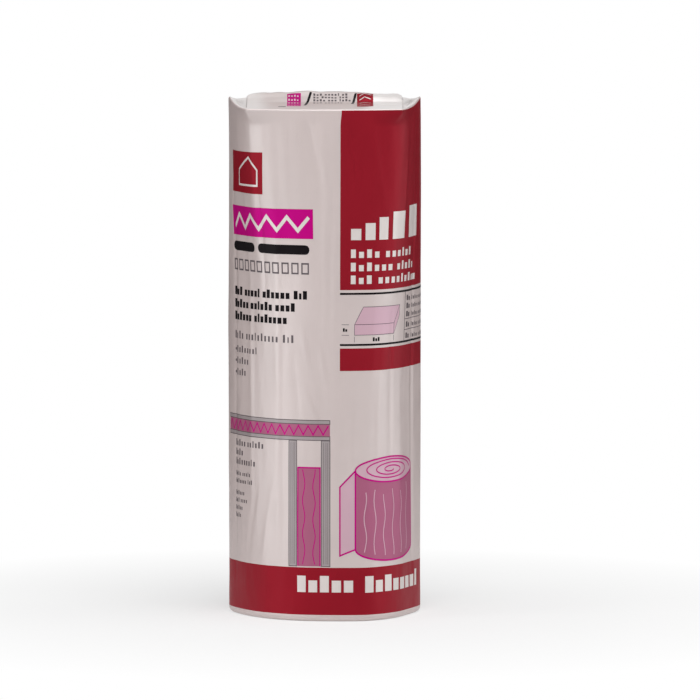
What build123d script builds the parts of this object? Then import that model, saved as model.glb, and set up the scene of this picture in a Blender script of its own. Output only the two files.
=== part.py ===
from build123d import *
import math
import os

# A rolled batt of unfaced glass wool, closed in its film bag and standing on one end.
# The front of the pack faces -Y and the origin is the middle of its base.

# The batt. It is 51 mm thick when free, and rolled up along its length.
batt_width = 406.4
batt_length = 1219.2
bore_diameter = 12.0
turn_gap = 1.2
turn_gap_depth = 4.0
roll_edge_chamfer = 5.0

# The filled bag, seen from above. The sleeve follows the round of the roll, with a flat front panel
# and a flat facet on its right half. The places of its corners are shares of half the width and depth.
bag_width = 154.0
bag_depth = 152.0
right_corners = ((0.60, 1.0), (1.0, 0.1))
left_corners = ((0.2, 1.0), (0.62, 0.76), (0.88, 0.44), (1.0, 0.1))
front_corner_radius = 24.0
left_corner_radius = 50.0
side_corner_radius = 28.0

# The folded top. Its corners stand out from the round of the roll, and fade into it down the sleeve.
# Each fold starts along places on the sleeve, from beside the middle of the front to the side.
ear_reach = 14.5
right_fold_start = 160.0
left_fold_start = 254.0
right_fold_foot = ((0.03, 0.97), (0.67, 0.84), (0.85, 0.43), (0.995, 0.0))
left_fold_foot = ((0.03, 0.97), (0.61, 0.73), (0.855, 0.41), (0.995, 0.0))
ear_height = 5.0
ear_inset = 1.0

# Film and folds.
film = 0.5
flap_thickness = 0.8
base_layers = 1.5
base_edge_radius = 4.0
clearance = 0.3

# The heat-sealed fin across each end, upright at the top and pressed flat under the base.
fin_length = 18.0
fin_thickness = 1.2
fin_lean = 62.0
fin_corner_radius = 8.0
fin_recess_gap = 1.0

# The lap seam down the back.
seam_width = 20.0
seam_thickness = 0.4
seam_end_margin = 8.0

# Places and heights that follow. The front crease and both fins are as wide as the front panel.
rim_corner = bag_width / 2 - ear_reach
fin_width = 2 * rim_corner
roll_bottom = base_layers + clearance
roll_top = roll_bottom + batt_width
rim_height = roll_top + clearance + film


def placed(share, inset=0.0):
    """A place on the plan of the pack, from shares of its half width and half depth."""
    return Vector(share[0] * (bag_width / 2 - inset), share[1] * (bag_depth / 2 - inset))


def softened(corners, radii):
    """Closed outline through the corners, each softened to its radius."""
    tangents = []
    edges = []
    count = len(corners)
    for index, corner in enumerate(corners):
        toward = [(corners[index - 1] - corner).normalized(), (corners[(index + 1) % count] - corner).normalized()]
        half_angle = math.radians(toward[0].get_angle(toward[1])) / 2
        length = radii[index] / math.tan(half_angle)
        inward = (toward[0] + toward[1]).normalized()
        crown = corner + inward * (radii[index] / math.sin(half_angle) - radii[index])
        tangents.append([corner + direction * length for direction in toward])
        edges.append(ThreePointArc(tangents[-1][0], crown, tangents[-1][1]))
    for index in range(count):
        edges.append(Line(tangents[index - 1][1], tangents[index][0]))
    return make_face(edges)


def body_section(inset=0.0):
    """Plan outline of the filled sleeve, drawn in from the outer surface by the inset."""
    right = [placed(share) for share in right_corners]
    left = [placed((-x, y)) for x, y in left_corners]
    back = left[::-1] + right
    front = [Vector(corner.X, -corner.Y) for corner in reversed(back)]
    left_radii = [left_corner_radius] * (len(left) - 1) + [side_corner_radius]
    radii = left_radii[::-1] + [front_corner_radius, side_corner_radius]
    outline = softened(back + front, radii + radii[::-1])
    return offset(outline, amount=-inset) if inset else outline


def side_fold(side, foot, start, inset, top):
    """The flat-faced film at one side, from both corners of the rim down to nothing on the sleeve."""
    corner = (2 * rim_corner / bag_width, 1.0)
    middle = (1.0, 0.0)
    rim = [(foot[0][0], 1.0), corner, ((corner[0] + middle[0]) / 2, 0.5), middle]
    sections = []
    for shares, level in ((foot, start), (rim, top)):
        half = [placed((side * x, y), inset) for x, y in shares]
        outline = half + [Vector(point.X, -point.Y) for point in half[-2::-1]]
        sections.append(Pos(0, 0, level) * make_face(Polyline(*outline, close=True)))
    return loft(sections, ruled=True)


def envelope(inset, bottom, top):
    """Closed form of the filled bag: a straight sleeve with flat folds up to the corners of its top."""
    sleeve = extrude(Pos(0, 0, bottom) * body_section(inset), amount=top - bottom)
    sleeve = fillet(sleeve.edges().group_by(Axis.Z)[0], base_edge_radius - inset)
    right = side_fold(1, right_fold_foot, right_fold_start, inset, top)
    left = side_fold(-1, left_fold_foot, left_fold_start, inset, top)
    return sleeve + right + left


def top_flaps():
    """The front and back panels, folded over the end and meeting at the fin."""
    return extrude(Pos(0, 0, rim_height) * Rectangle(2 * rim_corner, bag_depth), amount=flap_thickness)


def ear():
    """The raised film at the right side, with the gusset falling away inside it."""
    corner = (rim_corner, bag_depth / 2 - film / 2)
    outline = Polyline(corner, (bag_width / 2 - film / 2, 0), (corner[0], -corner[1]), close=True)
    tip = Vertex(bag_width / 2 - ear_inset, 0, rim_height + ear_height)
    return loft([Pos(0, 0, rim_height) * make_face(outline), tip])


def fin(length):
    """A sealed fin, flat in the XY plane, with its root on the X axis."""
    blade = Pos(0, length / 2) * Rectangle(fin_width, length)
    tips = blade.vertices().group_by(Axis.Y)[-1]
    return extrude(fillet(tips, fin_corner_radius), amount=fin_thickness)


def top_fin():
    """The fin on the top, leaning back from the middle of the end."""
    root = rim_height + flap_thickness / 2
    return Pos(0, 0, root) * Rot(90 - fin_lean, 0, 0) * fin(fin_length)


def base_fold():
    """The slot round the fin that is pressed flat into the base."""
    recess_width = fin_width + 2 * fin_recess_gap
    recess_length = fin_length + fin_recess_gap
    recess = Pos(0, recess_length / 2) * Rectangle(recess_width, recess_length)
    blade = Pos(0, fin_length / 2) * Rectangle(fin_width, fin_length)
    tips = blade.vertices().group_by(Axis.Y)[-1]
    return extrude(recess - fillet(tips, fin_corner_radius), amount=base_layers / 2)


def back_seam():
    """The lap of the film down the middle of the back."""
    height = rim_height - 2 * seam_end_margin
    root = 4 * film
    strip = Box(seam_width, root + seam_thickness, height)
    return Pos(0, bag_depth / 2 + (seam_thickness - root) / 2, rim_height / 2) * strip


def film_bag():
    """The bag in one piece: sleeve, folded ends, ears, fins and seam."""
    outer = envelope(0.0, 0.0, rim_height)
    inner = envelope(film, base_layers, rim_height - film)
    right_ear = ear()
    left_ear = mirror(right_ear, about=Plane.YZ)
    closed = outer + top_flaps() + right_ear + left_ear + top_fin() + back_seam()
    return closed - inner - base_fold()


def turn_line(pitch, outer_radius):
    """The narrow spiral gap between the turns, from the bore to the outer turn."""
    shift = pitch / 4
    half_turns = int((outer_radius - bore_diameter / 2) / (pitch / 2))
    inner_edges = []
    outer_edges = []
    for half_turn in range(half_turns):
        radius = bore_diameter / 2 + half_turn * pitch / 2
        upper = half_turn % 2 == 0
        centre = (-shift if upper else shift, 0)
        start = 0 if upper else 180
        inner_edges.append(CenterArc(centre, radius, start, 180))
        outer_edges.append(CenterArc(centre, radius + turn_gap, start, 180))
    root = Line(inner_edges[0] @ 0, outer_edges[0] @ 0)
    end = Line(inner_edges[-1] @ 1, outer_edges[-1] @ 1)
    return make_face([*inner_edges, end, *outer_edges, root])


def batt_roll():
    """The wound batt, pressed to the shape of the bag, its turns marked on both ends."""
    outline = body_section(film + clearance)
    pitch = outline.area / batt_length
    block = extrude(Pos(0, 0, roll_bottom) * outline, amount=batt_width)
    ends = block.edges().group_by(Axis.Z)
    block = chamfer([*ends[0], *ends[-1]], roll_edge_chamfer)
    bore = Pos(0, 0, roll_bottom) * Cylinder(
        bore_diameter / 2, batt_width, align=(Align.CENTER, Align.CENTER, Align.MIN)
    )
    line = turn_line(pitch, bag_depth / 2 - film - clearance - pitch / 4)
    low = extrude(Pos(0, 0, roll_bottom) * line, amount=turn_gap_depth)
    high = extrude(Pos(0, 0, roll_top) * line, amount=-turn_gap_depth)
    return block - bore - low - high


# The seam stands proud at the back only, so the pack moves forward by half of it.
centring = Pos(0, -seam_thickness / 2, 0)
nodes = {"film_bag": centring * film_bag(), "batt_roll": centring * batt_roll()}
for name, shape in nodes.items():
    shape.label = name
    export_step(shape, f"parts/{name}.step")
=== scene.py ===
import logging
import math
from collections import defaultdict
from dataclasses import dataclass, field
from enum import Enum

import bpy
import numpy as np
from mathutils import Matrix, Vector, noise


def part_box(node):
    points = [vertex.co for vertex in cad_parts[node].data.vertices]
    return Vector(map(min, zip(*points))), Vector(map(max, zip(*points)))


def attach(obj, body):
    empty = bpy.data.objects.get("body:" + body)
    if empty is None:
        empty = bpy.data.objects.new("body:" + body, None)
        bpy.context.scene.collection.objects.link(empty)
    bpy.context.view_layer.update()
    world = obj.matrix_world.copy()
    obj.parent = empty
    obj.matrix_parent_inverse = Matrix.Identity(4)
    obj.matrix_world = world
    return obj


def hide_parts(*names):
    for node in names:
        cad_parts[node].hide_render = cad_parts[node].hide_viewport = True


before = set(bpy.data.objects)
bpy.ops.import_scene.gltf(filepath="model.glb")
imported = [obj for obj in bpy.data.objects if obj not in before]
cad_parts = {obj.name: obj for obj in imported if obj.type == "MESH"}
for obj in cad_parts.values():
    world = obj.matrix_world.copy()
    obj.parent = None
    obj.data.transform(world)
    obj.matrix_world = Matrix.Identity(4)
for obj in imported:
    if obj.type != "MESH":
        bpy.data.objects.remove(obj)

log = logging.getLogger("bagged_roll")

MM = 0.001
# Attribute for doubled film and for the painted highlight at the ends of the top.
BODY = "root"
DOUBLED_AND_HIGHLIGHT = "doubled_film_and_painted_highlight"

Place = tuple[float, float]
Point = tuple[float, float, float]
Colour = tuple[int, int, int]
Block = tuple[float, float, float, float]
Face = list[Place]


def smooth(value: np.ndarray | float) -> np.ndarray | float:
    """Ease a value from 0 to 1, flat at both ends."""
    held = np.clip(value, 0.0, 1.0)
    return held * held * (3.0 - 2.0 * held)


def ramp(value: np.ndarray | float, start: float, end: float) -> np.ndarray | float:
    """Ease from 0 at the start to 1 at the end."""
    return smooth((value - start) / (end - start))


def plateau(value: np.ndarray | float, marks: tuple[float, ...]) -> np.ndarray | float:
    """Ease from 0 to 1 between the first two marks, and back to 0 between the last two."""
    return ramp(value, marks[0], marks[1]) * (1 - ramp(value, marks[2], marks[3]))


def stations(breaks: list[float], steps: list[float]) -> np.ndarray:
    """Divide a line at its break points.

    Args:
        breaks: Points that have to be on the line, from low to high.
        steps: The widest spacing in each interval between two breaks.

    Returns:
        The sorted points, with each break among them once.
    """
    points = [breaks[0]]
    for low, high, step in zip(breaks, breaks[1:], steps):
        count = max(1, math.ceil((high - low) / step - 1e-6))
        points.extend(low + (high - low) * (k + 1) / count for k in range(count))
    return np.array(points)


def lengths_along(path: np.ndarray) -> np.ndarray:
    """The length gone at each point of a path."""
    return np.concatenate([[0.0], np.cumsum(np.linalg.norm(np.diff(path, axis=0), axis=1))])


def deselect_all() -> None:
    """Leave edit mode and deselect every object."""
    if bpy.context.object and bpy.context.object.mode != "OBJECT":
        bpy.ops.object.mode_set(mode="OBJECT")
    bpy.ops.object.select_all(action="DESELECT")


def new_piece(name: str, points: np.ndarray, faces: list[list[int]]) -> bpy.types.Object:
    """Make a piece from points and faces and put it in the scene.

    Args:
        name: The piece's name.
        points: Its points in millimetres.
        faces: The points of each face, anticlockwise.

    Returns:
        The piece, with smooth shading.
    """
    mesh = bpy.data.meshes.new(name)
    mesh.from_pydata((points * MM).tolist(), [], faces)
    mesh.shade_smooth()
    piece = bpy.data.objects.new(name, mesh)
    bpy.context.scene.collection.objects.link(piece)
    return piece


@dataclass
class PackSizes:
    """The pack's main sizes in millimetres, read from the frame."""

    half_width: float
    half_depth: float
    middle_y: float
    crease_height: float
    front_half: float
    roll_low: Vector
    roll_high: Vector

    EAR_REACH = 14.5
    TOP_LAYERS = 1.6
    SEAM_THICKNESS = 0.4
    SEAM_HALF_WIDTH = 10.0
    SEAM_EDGE = 0.6

    @classmethod
    def from_frame(cls) -> "PackSizes":
        """Read the sizes from the boxes of the two CAD nodes.

        Returns:
            The sizes of the pack as it stands in the frame.
        """
        low, high = (Vector(corner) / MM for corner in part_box("film_bag"))
        roll_low, roll_high = (Vector(corner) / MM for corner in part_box("batt_roll"))
        half_depth = (high.y - low.y - cls.SEAM_THICKNESS) / 2
        return cls(
            half_width=high.x,
            half_depth=half_depth,
            middle_y=low.y + half_depth,
            crease_height=roll_high.z + cls.TOP_LAYERS,
            front_half=high.x - cls.EAR_REACH,
            roll_low=roll_low,
            roll_high=roll_high,
        )


@dataclass(frozen=True)
class Crease:
    """A soft fold in the tight film, between two places on the sheet, in millimetres."""

    start: Place
    end: Place
    height: float
    width: float

    BLUNT = 0.7
    STEEP = 0.5

    def relief(self, across: np.ndarray, up: np.ndarray) -> np.ndarray:
        """Height of the fold over the sheet.

        Args:
            across: Distance round the sheet from the middle of the front.
            up: Height up the sheet.

        Returns:
            The fold's height at each place, fading out at both of its ends.
        """
        run_a = self.end[0] - self.start[0]
        run_v = self.end[1] - self.start[1]
        length = math.hypot(run_a, run_v)
        along = ((across - self.start[0]) * run_a + (up - self.start[1]) * run_v) / length**2
        off = ((across - self.start[0]) * run_v - (up - self.start[1]) * run_a) / length
        fade = np.sin(np.pi * np.clip(along, 0.0, 1.0)) ** self.BLUNT
        side = np.where(off > 0, self.width, self.width * self.STEEP)
        return self.height * fade * np.exp(-((off / side) ** 2))


@dataclass(frozen=True)
class Ripple:
    """Random waves in one part of the film, in millimetres."""

    height: float
    size: float
    stretch: float
    seed: float


@dataclass(frozen=True)
class Outline:
    """Half of the filled bag's outline from above, as shares of its half width and half depth."""

    corners: tuple[Place, ...]

    def placed(self, size: np.ndarray, side: int) -> list[np.ndarray]:
        """The outline's corners from the front round to the back.

        Args:
            size: The bag's half width and half depth.
            side: 1 for the right half, -1 for the left.

        Returns:
            The corners of both quarters of this half, the middle of the side once.
        """
        front = [np.array(corner) * size * (side, -1) for corner in self.corners]
        back = [point * (1, -1) for point in front[-2::-1]]
        return front + back


@dataclass
class FilmSheet:
    """The film of the bag as one grid, closed round the roll and folded over both of its ends.

    A place on the sheet is given by its distance round from the middle of the front and its
    height up the sheet. Above the crease the height goes on over the end and up the fin, and
    below zero it goes in under the base.
    """

    sizes: PackSizes
    creases: list[Crease]
    print_columns: list[float]
    print_rows: list[float]
    left: Outline = Outline(
        ((0.0, 1.0), (0.3, 0.955), (0.64, 0.74), (0.84, 0.46), (1.0, 0.1), (1.0, 0.0))
    )
    right: Outline = Outline(((0.0, 1.0), (0.46, 1.0), (0.75, 0.72), (1.0, 0.1), (1.0, 0.0)))
    rim_outline: Outline = Outline(
        ((0.0, 1.0), (0.45, 0.985), (0.79, 0.88), (0.94, 0.52), (1.0, 0.1), (1.0, 0.0))
    )
    body_softness: float = 9.0
    rim_softness: float = 11.0
    outline_points: int = 1600
    column_marks: tuple[float, ...] = (-1.0, 0.0, 1.0, 7.0)
    column_steps: Place = (1.5, 2.35)
    side_bow: float = 0.66
    corner_starts: Place = (262.0, 170.0)
    crisp_from: float = 14.0
    rim_bow: float = 6.0
    rim_bow_power: float = 2.2
    base_radius: float = 4.0
    base_lift: float = 0.6
    base_reach: float = 70.0
    flap_foot: float = 20.0
    flap_depth: float = 66.0
    flap_step: float = 0.5
    crease_radius: float = 1.5
    ear_height: float = 5.2
    ear_swoop: float = 2.1
    ear_start: float = 0.84
    gusset_share: float = 0.75
    gusset_foot: float = 14.0
    gusset_gap: float = 2.3
    gusset_shut: Place = (35.0, 75.0)
    layer_gap: float = 0.5
    panel_sink: float = 1.5
    fin_length: float = 18.0
    fin_half_thickness: float = 0.6
    fin_closing: float = 14.0
    fin_rise: Place = (21.0, 26.0)
    fin_raised: tuple[float, ...] = (-62.0, -10.0, 13.0, 40.0)
    fin_rolled: tuple[float, ...] = (22.0, 32.0, 56.0, 62.0)
    fin_bulge: float = 1.8
    fin_ripple: Ripple = Ripple(0.9, 9.0, 1.4, 2.0)
    fin_edge: Ripple = Ripple(0.35, 5.0, 1.0, 3.0)
    fin_corner: float = 8.0
    # Where the painted highlight starts on the right and on the left of the folded top.
    painted_highlight_ends: Place = (26.0, -40.0)
    sleeve_ripples: tuple[Ripple, ...] = (Ripple(0.75, 16.0, 9.0, 4.0), Ripple(0.22, 6.0, 6.0, 9.0))
    end_ripple: Ripple = Ripple(0.5, 13.0, 1.0, 2.0)
    gusset_ripple: Ripple = Ripple(0.55, 4.5, 1.0, 6.0)
    gusset_folds: Ripple = Ripple(1.6, 9.0, 1.0, 3.0)
    base_ripple: Ripple = Ripple(0.22, 7.0, 2.2, 1.0)

    BLUNT = 0.8
    FOLD_EASE = 0.8
    GUSSET_EASE = 3.0
    INNER_LAYERS = 0.66

    def __post_init__(self) -> None:
        """Lay out the grid, place its points and put its folds in."""
        s = self.sizes
        self.side_half = math.hypot(s.half_width - s.front_half, s.half_depth)
        self.quarter = s.front_half + self.side_half
        self.half_round = 2 * self.quarter
        self.fin_root = s.crease_height + s.half_depth
        self._lay_columns()
        self._lay_rows()
        self._set_outlines()
        self.points = np.array([self._row(v) for v in self.rows])
        self._add_relief()
        self._find_doubled_and_highlight()

    def _lay_columns(self) -> None:
        """Space the columns of one quarter and mirror them to the other three."""
        front = self.sizes.front_half
        at_corner = [front + mark for mark in self.column_marks]
        breaks = [0.0, *sorted({*at_corner, *self.print_columns}), self.quarter]
        fine, coarse = self.column_steps
        steps = [fine if front <= low < at_corner[-1] else coarse for low in breaks[:-1]]
        first = stations(breaks, steps)
        half = np.concatenate([first, self.half_round - first[-2::-1]])
        self.columns = np.concatenate([-half[:0:-1], half[:-1]])
        size = np.abs(self.columns)
        self.side = np.where(self.columns >= 0, 1.0, -1.0)
        self.facing = np.where(size <= self.quarter, -1.0, 1.0)
        self.from_middle = np.where(self.facing < 0, size, self.half_round - size)
        self.side_share = np.clip(self.from_middle - front, 0.0, None) / self.side_half

    def _lay_rows(self) -> None:
        """Space the rows from the middle of the base to the edge of the fin.

        Each span is the place where it ends and the widest spacing of its rows.
        """
        crease = self.sizes.crease_height
        radius = self.crease_radius
        spans = [
            (-30.0, 5.0),
            (-4.0, 2.6),
            (0.0, 2.0),
            (self.base_radius, 1.0),
            (16.0, 1.8),
            (crease - 16.0, 2.75),
            (crease - radius, 1.6),
            (crease + radius, 0.45),
            (crease + self.gusset_foot, 1.3),
            (self.fin_root - 6.0, 2.8),
            (self.fin_root, 1.0),
            (self.fin_root + self.fin_length, 1.5),
        ]
        ends = sorted({end for end, _ in spans} | set(self.print_rows))
        steps = [next(step for end, step in spans if end >= mark) for mark in ends]
        self.rows = stations([-self.base_reach, *ends], steps)

    def _set_outlines(self) -> None:
        """Find each column's place on the round of the roll and on the rim."""
        s = self.sizes
        self.body = self._soft_outline(self.left, self.right, self.body_softness)
        self.soft_rim = self._soft_outline(self.rim_outline, self.rim_outline, self.rim_softness)
        share = self.side_share
        across = np.minimum(self.from_middle, s.front_half)
        rim_x = across + share**self.side_bow * (s.half_width - s.front_half)
        bow = self.rim_bow / s.half_depth * (across / s.front_half) ** self.rim_bow_power
        self.bowed = 1.0 - bow
        rim_y = self.bowed * s.half_depth * (1.0 - share)
        self.rim = np.stack([rim_x * self.side, rim_y * self.facing], axis=-1)
        self.ear = self.ear_height * share**self.ear_swoop

    def _soft_outline(self, left: Outline, right: Outline, softness: float) -> np.ndarray:
        """Place the columns round a closed outline with its corners softened.

        Args:
            left: The outline's left half.
            right: Its right half.
            softness: How far a corner is eased to each side, in millimetres.

        Returns:
            A point from above for each column.
        """
        size = np.array([self.sizes.half_width, self.sizes.half_depth])
        corners = np.array(right.placed(size, 1) + left.placed(size, -1)[-2::-1])
        gone = lengths_along(corners)
        count = self.outline_points
        even = np.linspace(0.0, gone[-1], count, endpoint=False)
        path = np.stack([np.interp(even, gone, corners[:, k]) for k in (0, 1)], axis=-1)
        reach = int(softness / gone[-1] * count)
        for _ in range(3):
            path = sum(np.roll(path, k, axis=0) for k in range(-reach, reach + 1)) / (2 * reach + 1)
        path *= size / np.abs(path).max(axis=0)
        path = np.concatenate([path, path[:1]])
        gone = lengths_along(path)
        right_end = int(np.argmax(path[:, 0]))
        left_end = int(np.argmin(path[:, 0]))
        back = right_end + int(np.argmin(np.abs(path[right_end:left_end, 0])))
        stops = [0.0, gone[right_end], gone[back], gone[left_end], gone[-1]]
        at = np.interp(self.columns % (2 * self.half_round), np.arange(5) * self.quarter, stops)
        return np.stack([np.interp(at, gone, path[:, k]) for k in (0, 1)], axis=-1)

    def _edge(self, v: float) -> Place:
        """Distance in from the rim and height, round the crease.

        Args:
            v: Height up the sheet.

        Returns:
            The distance in and the height above the base.
        """
        radius = self.crease_radius
        beyond = v - (self.sizes.crease_height - radius)
        turn = min(max(beyond / (2 * radius), 0.0), 1.0) * math.pi / 2
        inward = radius * (1 - math.cos(turn)) + max(0.0, beyond - 2 * radius)
        return inward, min(v, self.sizes.crease_height - radius) + radius * math.sin(turn)

    def _row(self, v: float) -> np.ndarray:
        """Place one row of points.

        Args:
            v: Height up the sheet.

        Returns:
            One point for each column, in millimetres.
        """
        if v < self.base_radius:
            return self._base_row(v)
        if v <= self.sizes.crease_height - self.crease_radius:
            return self._sleeve_row(v)
        if v <= self.fin_root:
            return self._end_row(v)
        return self._fin_row((v - self.fin_root) / self.fin_length)

    def _base_row(self, v: float) -> np.ndarray:
        """A ring round the base's edge, or under the base where v is below zero.

        Args:
            v: Height up the sheet.

        Returns:
            One point for each column, in millimetres.
        """
        turn = max(v, 0.0) / self.base_radius * math.pi / 2
        inward = self.base_radius * (1 - math.sin(turn)) - min(v, 0.0)
        height = self.base_radius * (1 - math.cos(turn))
        x, y = (self.body * (1 - inward / self.sizes.half_width)).T
        if v < 0:
            height = self.base_lift * ramp(-v, 5.0, 9.0) + self._base_flaps(x, y) * ramp(-v, 0.0, 3.0)
        return np.stack([x, y + self.sizes.middle_y, np.zeros_like(x) + height], axis=-1)

    def _base_flaps(self, x: np.ndarray, y: np.ndarray) -> np.ndarray:
        """How far the gussets lie above the flaps folded over them, under the base.

        Args:
            x: The places' distance to the right.
            y: Their distance to the back.

        Returns:
            The step at each place.
        """
        open_share = np.abs(y) / self.flap_depth
        flap_edge = self.flap_foot + (self.sizes.front_half - self.flap_foot) * open_share
        return self.flap_step * ramp(np.abs(x) - flap_edge, -self.FOLD_EASE, self.FOLD_EASE)

    def _sleeve_row(self, v: float) -> np.ndarray:
        """A ring of the sleeve, rounder low down and with its corners at the rim.

        Args:
            v: Height up the sheet.

        Returns:
            One point for each column, in millimetres.
        """
        s = self.sizes
        starts = np.where(self.side < 0, self.corner_starts[0], self.corner_starts[1])
        weight = ramp(v, starts, s.crease_height)[:, None]
        crisp = ramp(v, s.crease_height - self.crisp_from, s.crease_height)
        rim = self.soft_rim * (1 - crisp) + self.rim * crisp
        x, y = (self.body * (1 - weight) + rim * weight).T
        rise = self.ear * ramp(v / s.crease_height, self.ear_start, 1.0)
        from_seam = self.half_round - np.abs(self.columns)
        at_seam = ramp(from_seam, s.SEAM_HALF_WIDTH + s.SEAM_EDGE, s.SEAM_HALF_WIDTH)
        y = y + s.SEAM_THICKNESS * at_seam
        return np.stack([x, y + s.middle_y, v + rise], axis=-1)

    def _sunk(self, u: np.ndarray | float) -> np.ndarray | float:
        """How far the end panels sag between the crease and the fin."""
        share = np.clip(u / self.sizes.half_depth, 0.0, 1.0)
        return self.panel_sink * np.sin(np.pi * share) ** self.BLUNT

    def _end_row(self, v: float) -> np.ndarray:
        """A ring of the folded end: flat panels, with the gussets going in under them.

        Args:
            v: Height up the sheet.

        Returns:
            One point for each column, in millimetres.
        """
        s = self.sizes
        u, height = self._edge(v)
        corner = s.half_depth * self.side_share
        under = corner > 0
        reach = np.maximum(corner, 1e-6)
        gone = np.clip(u / reach, 0.0, 1.0)
        ridge_x = np.abs(self.rim[:, 0])
        fold_x = s.front_half - self.gusset_share * corner
        x = np.where(under, ridge_x + (fold_x - ridge_x) * gone, self.from_middle)
        y = self.bowed * (s.half_depth - np.maximum(u, corner))
        closing = ramp(u, s.half_depth - self.fin_closing, s.half_depth)
        gap = self.layer_gap * ramp(corner, 0.0, self.GUSSET_EASE) * (1 - closing)
        gap += self.gusset_gap * ramp(corner, 0.0, 30.0) * (1 - ramp(u, *self.gusset_shut))
        fallen = np.where(under, smooth(u / np.minimum(self.gusset_foot, reach)), 0.0)
        sunk = np.where(under, fallen * (self._sunk(s.half_depth - y) + gap), self._sunk(u))
        layer = self._layer() * closing
        rise = np.radians(self._fin_rise(x * self.side))
        y = y * self.facing - layer * np.sin(rise)
        z = height + self.ear * (1 - fallen) - sunk + layer * np.cos(rise)
        return np.stack([x * self.side, y + s.middle_y, z], axis=-1)

    def _layer(self) -> np.ndarray:
        """Find which side of the fin's middle each column lies on.

        Returns:
            The distance from the fin's middle, which is above it for the front half of the film.
        """
        corner = self.sizes.half_depth * self.side_share
        inner = 1 - self.INNER_LAYERS * ramp(corner, 0.0, self.GUSSET_EASE)
        share = inner * (1 - ramp(self.side_share, 0.9, 1.0))
        return -self.facing * self.fin_half_thickness * share

    def _fin_rise(self, x: np.ndarray) -> np.ndarray:
        """The fin's angle above the end, in degrees. It stands up most at the middle.

        Args:
            x: Places along the fin.

        Returns:
            The angle at each place.
        """
        low, high = self.fin_rise
        return low + (high - low) * plateau(x, self.fin_raised)

    def _fin_row(self, share: float) -> np.ndarray:
        """A ring of the sealed fin, with all its layers side by side.

        Args:
            share: How far up the fin, from 0 to 1.

        Returns:
            One point for each column, in millimetres.
        """
        root = self._end_row(self.fin_root)
        x = root[:, 0]
        past = np.clip(np.abs(x) - (self.sizes.front_half - self.fin_corner), 0.0, self.fin_corner)
        length = self.fin_length - self.fin_corner + np.sqrt(self.fin_corner**2 - past**2)
        edge, ripple = self.fin_edge, self.fin_ripple
        ragged = [noise.noise(Vector((value / edge.size, 0.0, edge.seed))) for value in x]
        up = share * (length + edge.height * np.array(ragged))
        rise = np.radians(self._fin_rise(x))
        along = share * ripple.stretch
        puckers = [noise.noise(Vector((value / ripple.size, ripple.seed, along))) for value in x]
        off = ripple.height * np.array(puckers) * ramp(share, 0.0, 0.5)
        off -= 0.7 * self._layer() * ramp(share, 0.3, 0.6)
        bulge = self.fin_bulge * plateau(x, self.fin_rolled)
        off = off + bulge * math.sin(math.pi * share) ** self.BLUNT
        y = root[:, 1] + up * np.cos(rise) - off * np.sin(rise)
        z = root[:, 2] + up * np.sin(rise) + off * np.cos(rise)
        return np.stack([x, y, z], axis=-1)

    def _add_relief(self) -> None:
        """Push the film out and in along its normals by its folds and waves."""
        self.normals = self._find_normals()
        across, up = np.meshgrid(self.columns, self.rows)
        crease = self.sizes.crease_height
        sleeve = plateau(up, (8.0, 30.0, crease - 16.0, crease - 2.0))
        end = plateau(up, (crease + 2.0, crease + 7.0, self.fin_root - 8.0, self.fin_root))
        from_edge = np.abs(self.points[..., 0]) - self.sizes.front_half
        loose = np.clip(self.side_share * 5.0, 0.0, 1.0)[None, :] * ramp(from_edge, 0.0, 5.0)
        pucker = plateau(up, (4.0, 8.0, 12.0, 28.0))
        height = sum(fold.relief(across, up) for fold in self.creases) * sleeve
        for ripple in self.sleeve_ripples:
            height += ripple.height * self._waves(ripple) * sleeve
        height += self.end_ripple.height * self._waves(self.end_ripple) * end
        height += self.gusset_ripple.height * self._waves(self.gusset_ripple) * end * loose
        folds = 0.35 - 2.0 * np.abs(self._waves(self.gusset_folds))
        height += self.gusset_folds.height * folds * end * loose
        height += self.base_ripple.height * self._waves(self.base_ripple) * pucker
        self.points = self.points + self.normals * height[..., None]
        self.normals = self._find_normals()

    def _find_doubled_and_highlight(self) -> None:
        """Mark where the film lies double or free of the wool, so that it looks whiter, and paint a
        highlight towards both ends of the folded top.
        """
        x = self.points[..., 0]
        crease = self.sizes.crease_height
        above = ramp(self.rows, crease, crease + 2.0)[:, None]
        in_fin = ramp(self.rows, self.fin_root - 4.0, self.fin_root + 2.0)[:, None]
        gussets = ramp(self.side_share, 0.0, 1 / 7)[None, :]
        right, left = self.painted_highlight_ends
        # Painted highlight: the film is whitened towards both ends of the folded top, as if light catches
        # it there.
        ends = np.maximum(ramp(x, right, right + 14.0), 0.8 * ramp(x, left, left - 16.0))
        self.doubled_and_highlight = above * np.maximum(gussets, np.maximum(ends, 0.3 * in_fin))

    def _waves(self, ripple: Ripple) -> np.ndarray:
        """Smooth random waves over the sheet.

        Args:
            ripple: The waves' breadth, how much longer they are than broad, and their pattern.

        Returns:
            A height from about -1 to 1 at each point.
        """
        cell = (ripple.size, ripple.size, ripple.size * ripple.stretch)
        scaled = self.points / cell + (ripple.seed, 0.0, ripple.seed)
        flat = [noise.noise(Vector(point)) for point in scaled.reshape(-1, 3)]
        return np.array(flat).reshape(self.points.shape[:2])

    def _find_normals(self) -> np.ndarray:
        """Find the film's outward direction at each point.

        Returns:
            A unit vector for each point of the grid.
        """
        along = np.roll(self.points, -1, axis=1) - np.roll(self.points, 1, axis=1)
        up = np.gradient(self.points, axis=0)
        normals = np.cross(along, up)
        return normals / np.maximum(np.linalg.norm(normals, axis=-1, keepdims=True), 1e-9)


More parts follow.
